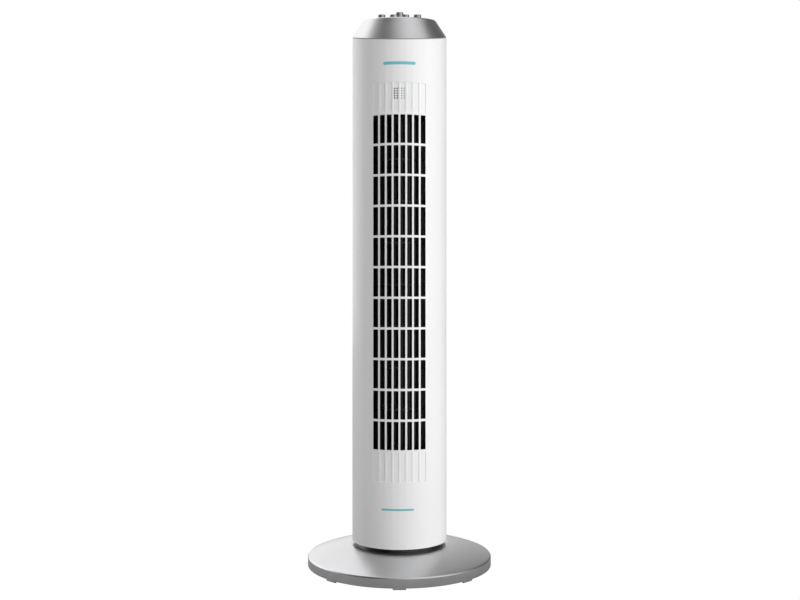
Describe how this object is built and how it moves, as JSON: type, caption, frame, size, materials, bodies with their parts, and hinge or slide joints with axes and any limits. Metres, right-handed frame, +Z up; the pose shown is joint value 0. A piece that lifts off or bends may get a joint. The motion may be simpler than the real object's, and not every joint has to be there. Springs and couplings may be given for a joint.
{
  "type": "tower fan",
  "caption": "Slim round tower fan on a domed disc base, with a front grille, push buttons on a slanted cap and an oscillating column.",
  "frame": {"origin": "on the floor, under the axis that the tower swings about", "axes": "+Z up along the tower; -Y towards the front grille; +X to the viewer's right"},
  "size_m": [0.252, 0.252, 0.7614],
  "materials": {
    "satin_silver": "satin silver lacquer over plastic",
    "button_silver": "satin silver plating",
    "white_shell": "white semi-gloss moulded plastic",
    "gloss_black": "polished black moulded plastic",
    "black_plastic": "matte black moulded plastic",
    "grey_plastic": "dark grey moulded plastic",
    "nylon": "natural nylon",
    "rubber": "matte rubber",
    "steel": "bright zinc-plated steel",
    "zinc": "plated pressed steel",
    "bronze": "sintered bronze",
    "copper": "varnished copper wire",
    "circuit_green": "green circuit board"
  },
  "bodies": {
    "base": {"base_cover": "satin_silver", "base_plate": "black_plastic", "rubber_pads": "rubber", "cord_gland": "black_plastic", "swivel_ring": "gloss_black", "base_weight": "steel", "base_screws": "steel", "glide_ring": "nylon", "pivot_post": "steel", "post_nut": "nylon", "fixed_gear": "nylon"},
    "tower": {"front_shell": "white_shell", "rear_shell": "white_shell", "tower_foot": "black_plastic", "seam_ring": "grey_plastic", "top_cap": "satin_silver", "shell_screws": "steel", "foot_screws": "steel", "switch_block": "black_plastic", "switch_screws": "steel", "indicator_lights": "black_plastic", "indicator_board": "circuit_green", "air_scroll": "black_plastic", "air_tongue": "black_plastic", "motor_carrier": "grey_plastic", "motor_grommets": "rubber", "motor_screws": "steel", "bearing_bridge": "grey_plastic", "bearing_rubber": "rubber", "upper_bearing": "bronze", "carrier_screws": "steel", "motor_bell_lower": "zinc", "motor_bell_upper": "zinc", "motor_stator": "steel", "motor_windings": "copper", "motor_capacitor": "black_plastic", "terminal_block": "grey_plastic", "wire_channel": "black_plastic", "swing_bracket": "steel", "swing_motor": "zinc"},
    "impeller": {"impeller_wheel": "black_plastic", "motor_shaft": "steel", "motor_rotor": "steel", "stub_shaft": "steel"},
    "pinion": {"swing_pinion": "nylon", "pinion_shaft": "steel"},
    "button_off": {"button_off": "button_silver"},
    "button_low": {"button_low": "button_silver"},
    "button_medium": {"button_medium": "button_silver"},
    "button_high": {"button_high": "button_silver"},
    "button_swing": {"button_swing": "button_silver"}
  },
  "joints": [
    {"name": "tower_swing", "type": "hinge", "parent": "base", "child": "tower", "pos_m": [0, 0, 0.0354], "axis": [0, 0, 1], "range_deg": [-40, 40]},
    {"name": "impeller_spin", "type": "hinge", "parent": "tower", "child": "impeller", "pos_m": [0, 0, 0.16], "axis": [0, 0, 1], "continuous": true},
    {"name": "pinion_turn", "type": "hinge", "parent": "tower", "child": "pinion", "pos_m": [0, 0.036, 0.0446], "axis": [0, 0, 1], "range_deg": [-120, 120]},
    {"name": "button_off_press", "type": "slide", "parent": "tower", "child": "button_off", "axis": [0, 0.1564, -0.9877], "range_m": [0, 0.003], "stiffness_N_per_m": 400},
    {"name": "button_low_press", "type": "slide", "parent": "tower", "child": "button_low", "axis": [0, 0.1564, -0.9877], "range_m": [0, 0.003], "stiffness_N_per_m": 400},
    {"name": "button_medium_press", "type": "slide", "parent": "tower", "child": "button_medium", "axis": [0, 0.1564, -0.9877], "range_m": [0, 0.003], "stiffness_N_per_m": 400},
    {"name": "button_high_press", "type": "slide", "parent": "tower", "child": "button_high", "axis": [0, 0.1564, -0.9877], "range_m": [0, 0.003], "stiffness_N_per_m": 400},
    {"name": "button_swing_press", "type": "slide", "parent": "tower", "child": "button_swing", "axis": [0, 0.1564, -0.9877], "range_m": [0, 0.003], "stiffness_N_per_m": 400}
  ],
  "couplings": [
    {"joint": "pinion_turn", "follows": "tower_swing", "ratio": 3}
  ]
}
